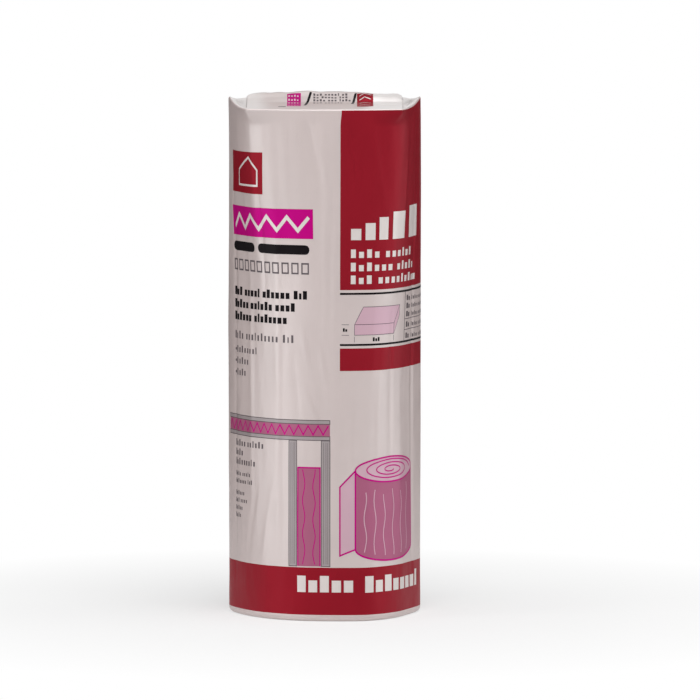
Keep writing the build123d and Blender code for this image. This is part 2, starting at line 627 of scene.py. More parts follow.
CREASES = [
    Crease((104.0, 408.0), (109.0, 20.0), -0.9, 3.2),
    Crease((-108.0, 408.0), (-113.0, 20.0), -0.9, 3.2),
    Crease((-47.0, 406.0), (-46.0, 40.0), 0.8, 6.0),
    Crease((-57.0, 408.0), (-53.0, 372.0), 0.6, 2.0),
    Crease((-36.0, 409.0), (-34.0, 330.0), 0.5, 5.0),
    Crease((-16.0, 408.0), (-2.0, 352.0), -0.8, 4.0),
    Crease((8.0, 380.0), (5.0, 236.0), -0.6, 3.4),
    Crease((-3.0, 408.0), (8.0, 300.0), 0.5, 4.0),
    Crease((-22.0, 236.0), (-13.0, 200.0), 0.7, 2.6),
    Crease((-6.0, 226.0), (4.0, 184.0), 0.7, 3.0),
    Crease((-20.0, 190.0), (-6.0, 158.0), 0.6, 2.6),
    Crease((-30.0, 216.0), (-24.0, 160.0), -0.5, 3.0),
    Crease((-30.0, 116.0), (-22.0, 44.0), 0.6, 4.0),
    Crease((-48.0, 124.0), (-66.0, 46.0), 0.6, 4.0),
    Crease((-72.0, 110.0), (-88.0, 46.0), -0.5, 4.0),
    Crease((-64.0, 372.0), (-61.0, 230.0), -0.5, 3.0),
    Crease((28.0, 200.0), (24.0, 60.0), 0.6, 6.0),
    Crease((52.0, 200.0), (50.0, 120.0), 0.7, 3.0),
    Crease((66.0, 260.0), (68.0, 120.0), -0.6, 4.0),
    Crease((-84.0, 330.0), (-80.0, 60.0), 0.6, 4.0),
    Crease((40.0, 406.0), (56.0, 320.0), 0.6, 5.0),
    Crease((20.0, 400.0), (30.0, 340.0), -0.4, 4.0),
    Crease((84.0, 404.0), (78.0, 300.0), 0.6, 4.0),
    Crease((150.0, 400.0), (146.0, 60.0), 0.7, 5.0),
    Crease((-150.0, 390.0), (-156.0, 80.0), 0.7, 5.0),
    Crease((200.0, 404.0), (212.0, 300.0), -0.7, 4.0),
    Crease((-205.0, 404.0), (-190.0, 310.0), 0.6, 4.0),
    Crease((240.0, 320.0), (236.0, 60.0), 0.6, 5.0),
    Crease((-236.0, 260.0), (-244.0, 50.0), -0.6, 5.0),
    Crease((184.0, 240.0), (176.0, 90.0), -0.5, 4.0),
]


class Ink(Enum):
    """The colours that the film is printed in."""

    DARK_RED = "dark_red"
    MAGENTA = "magenta"
    PINK = "pink"
    PALE_PINK = "pale_pink"
    BLACK = "black"
    GREY = "grey"
    PALE_GREY = "pale_grey"
    WHITE = "white"


@dataclass
class Graph:
    """A node tree, with short calls that add its nodes and link them."""

    tree: bpy.types.NodeTree

    def add(self, kind: str, inputs: dict | None = None, **settings: object) -> bpy.types.Node:
        """Add a node.

        Args:
            kind: The node's type.
            inputs: What goes into its sockets, by name or number.
            **settings: The node's own settings.

        Returns:
            The node.
        """
        node = self.tree.nodes.new(kind)
        for name, value in settings.items():
            setattr(node, name, value)
        self.feed(node, inputs or {})
        return node

    def feed(self, node: bpy.types.Node, inputs: dict) -> None:
        """Link the outputs of other nodes to a node's sockets, and set its constants.

        Args:
            node: The node.
            inputs: What goes into its sockets, by name or number.
        """
        for name, value in inputs.items():
            if isinstance(value, bpy.types.NodeSocket):
                self.tree.links.new(value, node.inputs[name])
            else:
                node.inputs[name].default_value = value


@dataclass
class SurfaceEffects:
    """The shader node groups that the finishes share."""

    crinkle: bpy.types.NodeTree = field(init=False)
    mottle: bpy.types.NodeTree = field(init=False)

    def __post_init__(self) -> None:
        """Build both groups once."""
        self.crinkle = self._crinkle()
        self.mottle = self._mottle()

    @staticmethod
    def _group(name: str, inputs: dict[str, float], output: str) -> bpy.types.NodeTree:
        """Start a node group that puts out one value.

        Args:
            name: The group's name.
            inputs: Its number inputs and their defaults.
            output: The name of its output.

        Returns:
            The group, still without nodes.
        """
        group = bpy.data.node_groups.new(name, "ShaderNodeTree")
        for label, value in inputs.items():
            socket = group.interface.new_socket(label, in_out="INPUT", socket_type="NodeSocketFloat")
            socket.default_value = value
        group.interface.new_socket(output, in_out="OUTPUT", socket_type="NodeSocketFloat")
        return group

    def _crinkle(self) -> bpy.types.NodeTree:
        """Fine upright wrinkles of tight film, as a height.

        Returns:
            The group.
        """
        group = self._group("film_crinkle", {"Breadth": 180.0, "Stretch": 0.16, "Fine": 0.35}, "Height")
        graph = Graph(group)
        entry = graph.add("NodeGroupInput").outputs
        place = graph.add("ShaderNodeTexCoord").outputs["Object"]
        squash = graph.add("ShaderNodeCombineXYZ", {"X": 1.0, "Y": 1.0, "Z": entry["Stretch"]})
        scaled = graph.add("ShaderNodeVectorMath", {0: place, 1: squash.outputs["Vector"]},
                           operation="MULTIPLY").outputs["Vector"]
        broad = graph.add("ShaderNodeTexNoise", {"Vector": scaled, "Scale": entry["Breadth"],
                                                 "Detail": 2.0, "Distortion": 0.6})
        fine = graph.add("ShaderNodeTexNoise", {"Vector": scaled, "Scale": 900.0, "Detail": 3.0})
        share = graph.add("ShaderNodeMath", {0: fine.outputs["Fac"], 1: entry["Fine"]},
                          operation="MULTIPLY")
        total = graph.add("ShaderNodeMath", {0: broad.outputs["Fac"], 1: share.outputs["Value"]},
                          operation="ADD")
        graph.add("NodeGroupOutput", {"Height": total.outputs["Value"]})
        return group

    def _mottle(self) -> bpy.types.NodeTree:
        """Broad uneven patches, as a mask from low to high.

        Returns:
            The group.
        """
        group = self._group("uneven_patches", {"Scale": 26.0, "Low": 0.0, "High": 1.0}, "Mask")
        graph = Graph(group)
        entry = graph.add("NodeGroupInput").outputs
        place = graph.add("ShaderNodeTexCoord").outputs["Object"]
        patches = graph.add("ShaderNodeTexNoise", {"Vector": place, "Scale": entry["Scale"],
                                                   "Detail": 4.0, "Roughness": 0.6})
        spread = graph.add("ShaderNodeMapRange", {
            "Value": patches.outputs["Fac"], "From Min": 0.3, "From Max": 0.7,
            "To Min": entry["Low"], "To Max": entry["High"]})
        graph.add("NodeGroupOutput", {"Mask": spread.outputs["Result"]})
        return group


def linear(colour: Colour) -> tuple[float, float, float, float]:
    """Turn a screen colour of 0 to 255 into the shader's linear colour."""
    shares = [channel / 255 for channel in colour]
    return (*[((c + 0.055) / 1.055) ** 2.4 if c > 0.04045 else c / 12.92 for c in shares], 1.0)


@dataclass(frozen=True)
class FilmFinish:
    """Pearly polythene film, bare or printed, with a sheen in its own colour."""

    name: str
    colour: Colour
    # Colour of doubled film, also used for the painted highlight at the ends of the top.
    doubled_and_highlight: Colour | None = None
    unevenness: float = 0.06
    gloss: Place = (0.42, 0.5)
    gloss_scale: float = 60.0
    crinkle_height: float = 0.12

    PEARL_IOR = 2.0
    SHEEN = 0.9
    BARE = (206, 189, 186)

    def material(self, effects: SurfaceEffects) -> bpy.types.Material:
        """Make the finish's material.

        Args:
            effects: The shared node groups.

        Returns:
            The material.
        """
        made = bpy.data.materials.new(self.name)
        made.use_nodes = True
        graph = Graph(made.node_tree)
        colour = linear(self.colour)
        sheen = [min(1.0, own / bare) for own, bare in zip(colour[:3], linear(self.BARE)[:3])]
        worn = (*[channel * (1 - self.unevenness) for channel in colour[:3]], 1.0)
        patches = graph.add("ShaderNodeGroup", node_tree=effects.mottle)
        tone = graph.add("ShaderNodeMix", {"Factor": patches.outputs["Mask"], "A": colour, "B": worn},
                         data_type="RGBA")
        low, high = self.gloss
        gloss = graph.add("ShaderNodeGroup", {"Scale": self.gloss_scale, "Low": low, "High": high},
                          node_tree=effects.mottle)
        crinkle = graph.add("ShaderNodeGroup", node_tree=effects.crinkle)
        bump = graph.add("ShaderNodeBump", {"Distance": self.crinkle_height * MM,
                                            "Height": crinkle.outputs["Height"]})
        graph.feed(made.node_tree.nodes["Principled BSDF"], {
            "Base Color": self._with_doubled_and_highlight(graph, tone.outputs["Result"]),
            "Roughness": gloss.outputs["Mask"],
            "IOR": self.PEARL_IOR,
            "Specular IOR Level": self.SHEEN,
            "Specular Tint": (*sheen, 1.0),
            "Normal": bump.outputs["Normal"],
        })
        return made

    def _with_doubled_and_highlight(self, graph: Graph, tone: bpy.types.NodeSocket) -> bpy.types.NodeSocket:
        """Whiten the film where the skin's own attribute says that it lies double, and paint a highlight
        where that attribute marks the ends of the top.

        Args:
            graph: The material's nodes.
            tone: The colour of a single layer.

        Returns:
            The colour with the doubled places and the painted highlight in it.
        """
        if self.doubled_and_highlight is None:
            return tone
        mask = graph.add("ShaderNodeAttribute", attribute_name=DOUBLED_AND_HIGHLIGHT)
        pale = graph.add("ShaderNodeMix", {"Factor": mask.outputs["Fac"], "A": tone,
                                           "B": linear(self.doubled_and_highlight)}, data_type="RGBA")
        return pale.outputs["Result"]


# The whiter colour is doubled film and also the painted highlight at the ends of the top.
BARE_FILM = FilmFinish("white_film", FilmFinish.BARE, doubled_and_highlight=(240, 234, 232))

INK_FINISHES = {
    Ink.DARK_RED: FilmFinish("dark_red_print", (138, 26, 38)),
    Ink.MAGENTA: FilmFinish("magenta_print", (186, 12, 120)),
    Ink.PINK: FilmFinish("pink_print", (164, 92, 119)),
    Ink.PALE_PINK: FilmFinish("pale_pink_print", (202, 164, 176)),
    Ink.BLACK: FilmFinish("black_print", (24, 20, 22)),
    Ink.GREY: FilmFinish("grey_print", (92, 82, 85)),
    Ink.PALE_GREY: FilmFinish("pale_grey_print", (158, 146, 146)),
    Ink.WHITE: FilmFinish("white_print", (224, 214, 210)),
}


@dataclass
class Studio:
    """The camera, lamps, floor and background of the photograph."""

    camera_distance: float = 7.7
    camera_height: float = 0.93
    camera_side: float = 0.0204
    aim_height: float = 0.2107
    lens: float = 495.0
    left_power: float = 14.0
    right_power: float = 11.5
    front_power: float = 22.0
    top_power: float = 24.0
    ambient: float = 0.1
    shadow_reach: Place = (0.1, 0.45)
    shadow_white: float = 0.6

    def build(self) -> None:
        """Set up the camera, the lamps, the floor and the world."""
        self._camera()
        self._lamps()
        self._flags()
        self._floor()
        self._world()

    def _camera(self) -> None:
        """Stand the camera at the photograph's place and lens."""
        data = bpy.data.cameras.new("camera")
        data.lens = self.lens
        data.sensor_width = 36.0
        data.clip_end = 50.0
        camera = bpy.data.objects.new("camera", data)
        bpy.context.scene.collection.objects.link(camera)
        camera.location = (self.camera_side, -self.camera_distance, self.camera_height)
        pitch = math.atan2(self.camera_height - self.aim_height, self.camera_distance)
        camera.rotation_euler = (math.pi / 2 - pitch, 0.0, 0.0)
        bpy.context.scene.camera = camera

    def _lamp(self, name: str, place: Point, aim: Point, size: Place, power: float) -> None:
        """Add one soft box.

        Args:
            name: The lamp's name.
            place: Where it stands.
            aim: The point that it faces.
            size: Its width and height.
            power: Its strength in watts.
        """
        data = bpy.data.lights.new(name, "AREA")
        data.shape = "RECTANGLE"
        data.size, data.size_y = size
        data.energy = power
        lamp = bpy.data.objects.new(name, data)
        bpy.context.scene.collection.objects.link(lamp)
        lamp.location = place
        facing = Vector(aim) - Vector(place)
        lamp.rotation_euler = facing.to_track_quat("-Z", "Y").to_euler()

    def _lamps(self) -> None:
        """Stand soft boxes to the left, to the right, in front and over the pack's top."""
        middle = (0.0, 0.0, 0.22)
        for name, turn, size, power in (
            ("left_box", -64.0, (0.7, 1.7), self.left_power),
            ("right_box", 84.0, (1.3, 1.7), self.right_power),
        ):
            angle = math.radians(turn)
            place = (2.0 * math.sin(angle), -2.0 * math.cos(angle), 0.6)
            self._lamp(name, place, middle, size, power)
        self._lamp("front_box", (-0.1, -2.6, 2.3), middle, (1.6, 1.2), self.front_power)
        self._lamp("top_box", (0.2, -0.7, 2.3), (0.0, 0.0, 0.41), (1.0, 0.8), self.top_power)

    def _flags(self) -> None:
        """Stand dark cards beside and behind the pack, and on the camera's side, out of sight."""
        paper = bpy.data.materials.new("black_card")
        paper.use_nodes = True
        shader = paper.node_tree.nodes["Principled BSDF"]
        Graph(paper.node_tree).feed(shader, {"Base Color": (0.01, 0.01, 0.01, 1.0), "Roughness": 0.9})
        for name, place, size in (
            ("left_flag", (-0.45, 0.9, 0.7), (0.0, 1.8, 1.5)),
            ("right_flag", (0.5, 1.05, 0.7), (0.0, 1.7, 1.5)),
            ("camera_flag", (0.0, -4.0, 1.0), (1.8, 0.0, 2.4)),
            ("back_flag", (0.0, 1.3, 1.95), (1.8, 0.0, 1.5)),
        ):
            wide, deep, tall = np.array(size) / 2
            corners = [(-wide, -deep, -tall), (wide, deep, -tall), (wide, deep, tall), (-wide, -deep, tall)]
            card = new_piece(name, (np.array(corners) + place) / MM, [[0, 1, 2, 3]])
            card.data.materials.append(paper)
            card.visible_camera = False

    @staticmethod
    def _seen(graph: Graph) -> bpy.types.NodeSocket:
        """Where the background is seen, mirrored or seen through.

        Args:
            graph: The nodes of the floor's material or of the world.

        Returns:
            A value of 1 for those rays.
        """
        rays = graph.add("ShaderNodeLightPath").outputs
        seen = graph.add("ShaderNodeMath", {0: rays["Is Camera Ray"], 1: rays["Is Glossy Ray"]},
                         operation="MAXIMUM")
        clear = graph.add("ShaderNodeMath", {0: seen.outputs["Value"], 1: rays["Is Transmission Ray"]},
                          operation="MAXIMUM")
        return clear.outputs["Value"]

    def _floor(self) -> None:
        """Lay a white floor that keeps the pack's shadow close to it."""
        deselect_all()
        bpy.ops.mesh.primitive_plane_add(size=30.0)
        floor = bpy.context.object
        floor.name = "studio_floor"
        material = bpy.data.materials.new("floor_paper")
        material.use_nodes = True
        nodes = material.node_tree.nodes
        graph = Graph(material.node_tree)
        shader = nodes["Principled BSDF"]
        graph.feed(shader, {"Base Color": (0.9, 0.9, 0.9, 1.0), "Roughness": 0.9})
        white = graph.add("ShaderNodeEmission")
        place = graph.add("ShaderNodeTexCoord").outputs["Object"]
        distance = graph.add("ShaderNodeVectorMath", {0: place}, operation="LENGTH")
        near, far = self.shadow_reach
        fade = graph.add("ShaderNodeMapRange", {
            "Value": distance.outputs["Value"], "From Min": near, "From Max": far,
            "To Min": self.shadow_white, "To Max": 1.0})
        share = graph.add("ShaderNodeMath", {0: fade.outputs["Result"], 1: self._seen(graph)},
                          operation="MULTIPLY")
        mix = graph.add("ShaderNodeMixShader", {
            "Fac": share.outputs["Value"], 1: shader.outputs["BSDF"], 2: white.outputs["Emission"]})
        graph.feed(nodes["Material Output"], {"Surface": mix.outputs["Shader"]})
        floor.data.materials.append(material)

    def _world(self) -> None:
        """Give the world a soft grey light, and white where it is seen or mirrored."""
        scene = bpy.context.scene
        scene.view_settings.view_transform = "Standard"
        world = bpy.data.worlds.new("studio")
        scene.world = world
        world.use_nodes = True
        graph = Graph(world.node_tree)
        strength = graph.add("ShaderNodeMapRange", {
            "Value": self._seen(graph), "To Min": self.ambient, "To Max": 1.0})
        graph.feed(world.node_tree.nodes["Background"], {
            "Color": (1.0, 1.0, 1.0, 1.0), "Strength": strength.outputs["Result"]})


@dataclass
class FilmBag:
    """The bag as one closed skin of film, printed in broad blocks of colour."""

    sheet: FilmSheet
    effects: SurfaceEffects
    blocks: list[Block]

    INSIDE = 0.1
    MAP_MARGIN = 4.0

    def build(self) -> bpy.types.Object:
        """Make the skin, close it at the base and along the fin, and colour its blocks.

        Returns:
            The finished piece.
        """
        count = len(self.sheet.columns)
        i, j = self._cells()
        k = (i + 1) % count
        low, high = j * count, (j + 1) * count
        faces = np.stack([low + i, low + k, high + k, high + i], axis=-1).tolist()
        faces += self._base_fan() + self._fin_edge()
        middle = [[0.0, self.sheet.sizes.middle_y, 0.0]]
        points = np.concatenate([self.sheet.points.reshape(-1, 3), middle])
        piece = new_piece("film_bag_skin", points, faces)
        mesh = piece.data
        mesh.materials.append(BARE_FILM.material(self.effects))
        mesh.materials.append(INK_FINISHES[Ink.DARK_RED].material(self.effects))
        self._colour(mesh)
        self._unwrap(mesh)
        # Doubled film and painted highlight, stored on each point.
        doubled_and_highlight = mesh.attributes.new(DOUBLED_AND_HIGHLIGHT, "FLOAT", "POINT")
        doubled_and_highlight.data.foreach_set("value", np.append(self.sheet.doubled_and_highlight.reshape(-1), 0.0))
        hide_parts("film_bag")
        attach(piece, BODY)
        return piece

    def _cells(self) -> tuple[np.ndarray, np.ndarray]:
        """The column and the row of each cell of the sheet."""
        i, j = np.meshgrid(np.arange(len(self.sheet.columns)), np.arange(len(self.sheet.rows) - 1))
        return i.reshape(-1), j.reshape(-1)

    def _base_fan(self) -> list[list[int]]:
        """Faces from the innermost ring of the base to its middle."""
        count = len(self.sheet.columns)
        return [[len(self.sheet.rows) * count, (i + 1) % count, i] for i in range(count)]

    def _fin_edge(self) -> list[list[int]]:
        """Close the free edge of the fin, from its front layer to its back layer.

        Returns:
            The points of each face.
        """
        count = len(self.sheet.columns)
        first = (len(self.sheet.rows) - 1) * count
        left = int(np.argmin(np.abs(self.sheet.columns + self.sheet.quarter)))
        strip = []
        for step in range(count // 2):
            near = [(left + step) % count, (left + step + 1) % count]
            far = [(left - step - 1) % count, (left - step) % count]
            strip.append([first + index for index in dict.fromkeys(near + far)])
        return strip

    def _colour(self, mesh: bpy.types.Mesh) -> None:
        """Give the faces inside the printed blocks the red film.

        Args:
            mesh: The skin.
        """
        i, j = self._cells()
        across, up = self.sheet.columns[i] + self.INSIDE, self.sheet.rows[j] + self.INSIDE
        red = np.zeros(len(mesh.polygons), dtype=np.int32)
        for left, low, right, high in self.blocks:
            red[: len(i)] |= (across > left) & (across < right) & (up > low) & (up < high)
        mesh.polygons.foreach_set("material_index", red)

    def _unwrap(self, mesh: bpy.types.Mesh) -> None:
        """Lay the skin out flat for the bake, as the sheet that it was cut from.

        Args:
            mesh: The skin.
        """
        rows, margin = self.sheet.rows, self.MAP_MARGIN
        flat = np.zeros((len(mesh.loops), 2))
        wide = np.append(self.sheet.columns, self.sheet.half_round)
        wide = (wide - wide[0]) / (wide[-1] - wide[0])
        tall = (rows - rows[0] + margin) / (rows[-1] - rows[0] + 2 * margin)
        i, j = self._cells()
        for corner, (a, v) in enumerate(((i, j), (i + 1, j), (i + 1, j + 1), (i, j + 1))):
            flat[corner : 4 * len(i) : 4] = np.stack([wide[a], tall[v]], axis=-1)
        layer = mesh.uv_layers.new(name="OFBake")
        layer.data.foreach_set("uv", flat.reshape(-1))


@dataclass
class BaseFin:
    """The sealed fin of the bag's lower end, pressed flat against the base."""

    film: bpy.types.Material
    half_width: float
    length: float = 18.0
    thickness: float = 0.5
    corner: float = 7.0

    def build(self) -> bpy.types.Object:
        """Make the fin as a thin plate with rounded tips.

        Returns:
            The finished piece.
        """
        deselect_all()
        middle = (0.0, self.length / 2 * MM, self.thickness * MM)
        bpy.ops.mesh.primitive_plane_add(size=1.0, location=middle)
        piece = bpy.context.object
        piece.name = "base_fin"
        piece.scale = (2 * self.half_width * MM, self.length * MM, 1.0)
        bpy.ops.object.transform_apply(location=True, rotation=True, scale=True)
        for vertex in piece.data.vertices:
            vertex.select = vertex.co.y > self.length / 2 * MM
        for edge in piece.data.edges:
            edge.select = False
        for face in piece.data.polygons:
            face.select = False
        bpy.ops.object.mode_set(mode="EDIT")
        bpy.ops.mesh.bevel(offset=self.corner * MM, segments=6, affect="VERTICES")
        bpy.ops.mesh.select_all(action="SELECT")
        down = (0.0, 0.0, -self.thickness * MM)
        bpy.ops.mesh.extrude_region_move(TRANSFORM_OT_translate={"value": down})
        bpy.ops.mesh.select_all(action="SELECT")
        bpy.ops.mesh.normals_make_consistent(inside=False)
        bpy.ops.object.mode_set(mode="OBJECT")
        piece.data.materials.append(self.film)
        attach(piece, BODY)
        return piece


@dataclass(frozen=True)
class WoolFinish:
    """Loose glass wool, matt and full of fine fibres."""

    name: str = "glass_wool"
    colour: Colour = (228, 164, 182)
    deep_colour: Colour = (196, 116, 140)
    tuft_scale: float = 140.0
    fibre_height: float = 0.8

    def material(self, effects: SurfaceEffects) -> bpy.types.Material:
        """Make the finish's material.

        Args:
            effects: The shared node groups.

        Returns:
            The material.
        """
        made = bpy.data.materials.new(self.name)
        made.use_nodes = True
        graph = Graph(made.node_tree)
        tufts = graph.add("ShaderNodeGroup", {"Scale": self.tuft_scale}, node_tree=effects.mottle)
        fibres = graph.add("ShaderNodeGroup", {"Breadth": 420.0, "Stretch": 1.6, "Fine": 0.8},
                           node_tree=effects.crinkle)
        tone = graph.add("ShaderNodeMix", {
            "Factor": tufts.outputs["Mask"], "A": linear(self.deep_colour), "B": linear(self.colour),
        }, data_type="RGBA")
        bump = graph.add("ShaderNodeBump", {"Distance": self.fibre_height * MM,
                                            "Height": fibres.outputs["Height"]})
        graph.feed(made.node_tree.nodes["Principled BSDF"], {
            "Base Color": tone.outputs["Result"],
            "Roughness": 1.0,
            "Specular IOR Level": 0.1,
            "Sheen Weight": 0.3,
            "Normal": bump.outputs["Normal"],
        })
        return made


@dataclass
class WoolRoll:
    """The batt, wound from its inner end and pressed to the round of the bag."""

    sheet: FilmSheet
    effects: SurfaceEffects
    thickness: float = 14.0
    pitch: float = 14.6
    bore_radius: float = 6.0
    half_turns: int = 8
    steps: int = 24
    courses: int = 20
    edge_radius: float = 4.0
    film_gap: float = 3.0
    top_gap: float = 4.6
    tail_start: float = 250.0
    tail_share: float = 0.1
    tuft_sizes: Place = (9.0, 3.5)
    tuft_height: float = 0.5
    fine_share: float = 0.5

    WELD = 0.02
    LAP_SLACK = 0.2
    END_SLACK = 0.3

    def build(self) -> bpy.types.Object:
        """Wind the batt, press it to shape and roughen it.

        Returns:
            The finished piece.
        """
        piece = self._section()
        self._wind()
        self._press(piece.data)
        piece.data.shade_smooth()
        piece.data.materials.append(WoolFinish().material(self.effects))
        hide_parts("batt_roll")
        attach(piece, BODY)
        return piece

    def _section(self) -> bpy.types.Object:
        """Stand up the batt's cut end, with soft corners and level courses.

        Returns:
            The piece, in edit mode.
        """
        sizes = self.sheet.sizes
        low = sizes.roll_low.z
        tall = sizes.roll_high.z - self.top_gap - low
        inner = self.bore_radius - self.pitch / 4
        deselect_all()
        middle = ((inner + self.thickness / 2) * MM, 0.0, (low + tall / 2) * MM)
        bpy.ops.mesh.primitive_plane_add(size=1.0, location=middle, rotation=(math.pi / 2, 0.0, 0.0))
        piece = bpy.context.object
        piece.name = "wool_roll"
        piece.scale = (self.thickness * MM, tall * MM, 1.0)
        bpy.ops.object.transform_apply(location=True, rotation=True, scale=True)
        bpy.ops.object.mode_set(mode="EDIT")
        bpy.ops.mesh.select_all(action="SELECT")
        bpy.ops.mesh.bevel(offset=self.edge_radius * MM, segments=3, affect="VERTICES")
        for k in range(1, self.courses):
            height = low + self.edge_radius + (tall - 2 * self.edge_radius) * k / self.courses
            bpy.ops.mesh.select_all(action="SELECT")
            bpy.ops.mesh.bisect(plane_co=(0.0, 0.0, height * MM), plane_no=(0.0, 0.0, 1.0))
        return piece

    def _wind(self) -> None:
        """Spin the section in half turns about two centres, each wider than the last."""
        bpy.ops.mesh.select_all(action="SELECT")
        for half_turn in range(self.half_turns):
            shift = self.pitch / 4 * (1 if half_turn % 2 else -1)
            centre = (shift * MM, 0.0, 0.0)
            bpy.ops.mesh.spin(steps=self.steps, angle=math.pi, center=centre, axis=(0.0, 0.0, -1.0))
        bpy.ops.mesh.select_all(action="SELECT")
        bpy.ops.mesh.remove_doubles(threshold=self.WELD * MM)
        bpy.ops.mesh.normals_make_consistent(inside=False)
        bpy.ops.object.mode_set(mode="OBJECT")

    @staticmethod
    def _read(mesh: bpy.types.Mesh, what: str) -> np.ndarray:
        """Read one vector of every vertex.

        Args:
            mesh: The mesh.
            what: The name of the vector.

        Returns:
            A row for each vertex.
        """
        values = np.empty(len(mesh.vertices) * 3)
        mesh.vertices.foreach_get(what, values)
        return values.reshape(-1, 3)

    def _press(self, mesh: bpy.types.Mesh) -> None:
        """Taper the outer end of the batt, fill the bag's outline and roughen the wool.

        Args:
            mesh: The wound batt.
        """
        points = self._read(mesh, "co") / MM
        radius = np.hypot(points[:, 0], points[:, 1])
        turn = np.degrees(np.arctan2(points[:, 1], points[:, 0])) % 360.0
        last_lap = self.bore_radius - self.pitch / 4 + (self.half_turns // 2 - 1) * self.pitch
        at_end = (turn < 1.0) & (radius > last_lap + self.thickness + self.END_SLACK)
        turn = np.where(at_end, 360.0, turn)
        floor = last_lap + self.pitch * turn / 360.0
        thin = 1 - (1 - self.tail_share) * ramp(turn, self.tail_start, 360.0)
        radius = np.where(radius > floor - self.LAP_SLACK, floor + (radius - floor) * thin, radius)
        end_reach = last_lap + self.pitch + self.thickness * self.tail_share
        reach = np.maximum(floor + self.thickness * thin, end_reach)
        radius = radius * (1 + (self._room(turn) / reach - 1) * np.clip(radius / reach, 0.0, 1.0))
        direction = np.radians(turn)
        large, small = self.tuft_sizes
        tufts = np.array([noise.noise(Vector(point) / large)
                          + self.fine_share * noise.noise(Vector(point) / small) for point in points])
        points[:, 0] = radius * np.cos(direction)
        points[:, 1] = radius * np.sin(direction) + self.sheet.sizes.middle_y
        points += self._read(mesh, "normal") * tufts[:, None] * self.tuft_height
        mesh.vertices.foreach_set("co", (points * MM).reshape(-1))
        mesh.update()

    def _room(self, turn: np.ndarray) -> np.ndarray:
        """How far out the wool may reach inside the film.

        Args:
            turn: Directions from the middle, in degrees.

        Returns:
            The distance in each direction.
        """
        body = self.sheet.body
        around = np.degrees(np.arctan2(body[:, 1], body[:, 0])) % 360.0
        order = np.argsort(around)
        return np.interp(turn, around[order], np.hypot(*body.T)[order], period=360.0) - self.film_gap


def on_ellipse(middle: Place, radii: Place, turn: float) -> Place:
    """The point of an ellipse at some turn from its right end, anticlockwise."""
    return middle[0] + radii[0] * math.cos(turn), middle[1] + radii[1] * math.sin(turn)


@dataclass
class PrintArt:
    """The fine print, drawn on the flat sheet in millimetres as convex faces."""

    SHARPEST = 0.4

    faces: dict[Ink, list[tuple[int, Face]]] = field(default_factory=lambda: defaultdict(list))

    def shape(self, ink: Ink, corners: Face, level: int = 0) -> None:
        """Add one convex face, anticlockwise. A higher level lies over a lower one."""
        self.faces[ink].append((level, corners))

    def outlined(self, ink: Ink, corners: Face, line: float) -> None:
        """Add a convex face with a grey line of some width round it."""
        self.shape(ink, corners)
        self.stroke(Ink.GREY, corners + corners[:1], line, 1)

    def block(self, ink: Ink, left: float, low: float, right: float, high: float,
              level: int = 0) -> None:
        """Add a rectangle."""
        self.shape(ink, [(left, low), (right, low), (right, high), (left, high)], level)

    def disc(self, ink: Ink, middle: Place, radii: Place, level: int = 0) -> None:
        """Add a filled ellipse."""
        self.shape(ink, [on_ellipse(middle, radii, math.tau * k / 36) for k in range(36)], level)

    def bar(self, ink: Ink, left: float, right: float, middle: float, thickness: float) -> None:
        """Add a level bar with rounded ends.

        Args:
            ink: The colour.
            left: Where the bar starts.
            right: Where it ends.
            middle: The height of its middle line.
            thickness: How tall it is.
        """
        radius = thickness / 2
        ends = ((right - radius, -90), (left + radius, 90))
        self.shape(ink, [on_ellipse((centre, middle), (radius, radius), math.radians(start + 30 * k))
                         for centre, start in ends for k in range(7)])

    def words(self, ink: Ink, left: float, base: float, height: float, counts: list[int],
              pitch: float, weight: float = 0.74, level: int = 0) -> None:
        """Add a row of plain blocks that stands for a line of words.

        Args:
            ink: The colour.
            left: Where the row starts.
            base: The height of its foot.
            height: How tall its tallest blocks are.
            counts: How many blocks stand in each group.
            pitch: The step from one block to the next.
            weight: How much of the step each block fills.
            level: How many prints lie below it.
        """
        order = 0
        for count in counts:
            for _ in range(count):
                tall = height if order * 5 % 7 in (0, 3) else height * 0.72
                wide = pitch * weight * (0.62 if order * 3 % 8 == 5 else 1.0)
                self.block(ink, left, base, left + wide, base + tall, level)
                left += wide + pitch * (1 - weight)
                order += 1
            left += pitch * 0.55

    def frames(self, ink: Ink, left: float, base: float, size: Place, count: int, step: float,
               line: float) -> None:
        """Add a row of open boxes.

        Args:
            ink: The colour.
            left: Where the row starts.
            base: The height of its foot.
            size: A box's width and height.
            count: How many boxes there are.
            step: From one box to the next.
            line: How thick their line is.
        """
        low, high = base + line / 2, base + size[1] - line / 2
        for k in range(count):
            x = left + k * step
            near, far = x + line / 2, x + size[0] - line / 2
            self.stroke(ink, [(near, low), (far, low), (far, high), (near, high), (near, low)], line)

    def stroke(self, ink: Ink, path: list[Place], width: float, level: int = 0) -> None:
        """Add a line of even width along a path, mitred at its points.

        Args:
            ink: The colour.
            path: The points of its middle. The line is closed where the last is the first.
            width: How wide it is.
            level: How many prints lie below it.
        """
        points = np.array(path, dtype=float)
        closed = bool(np.allclose(points[0], points[-1]))
        runs = np.diff(points, axis=0)
        runs /= np.linalg.norm(runs, axis=1, keepdims=True)
        before = np.vstack([runs[-1] if closed else runs[0], runs])
        after = np.vstack([runs, runs[0] if closed else runs[-1]])
        normal = np.stack([-(before + after)[:, 1], (before + after)[:, 0]], axis=1)
        normal /= np.linalg.norm(normal, axis=1, keepdims=True)
        square = np.stack([-after[:, 1], after[:, 0]], axis=1)
        sharp = np.maximum((normal * square).sum(axis=1), self.SHARPEST)
        offset = normal * (width / 2 / sharp)[:, None]
        left, right = points + offset, points - offset
        for k in range(len(points) - 1):
            corners = (right[k], right[k + 1], left[k + 1], left[k])
            self.shape(ink, [tuple(corner) for corner in corners], level)


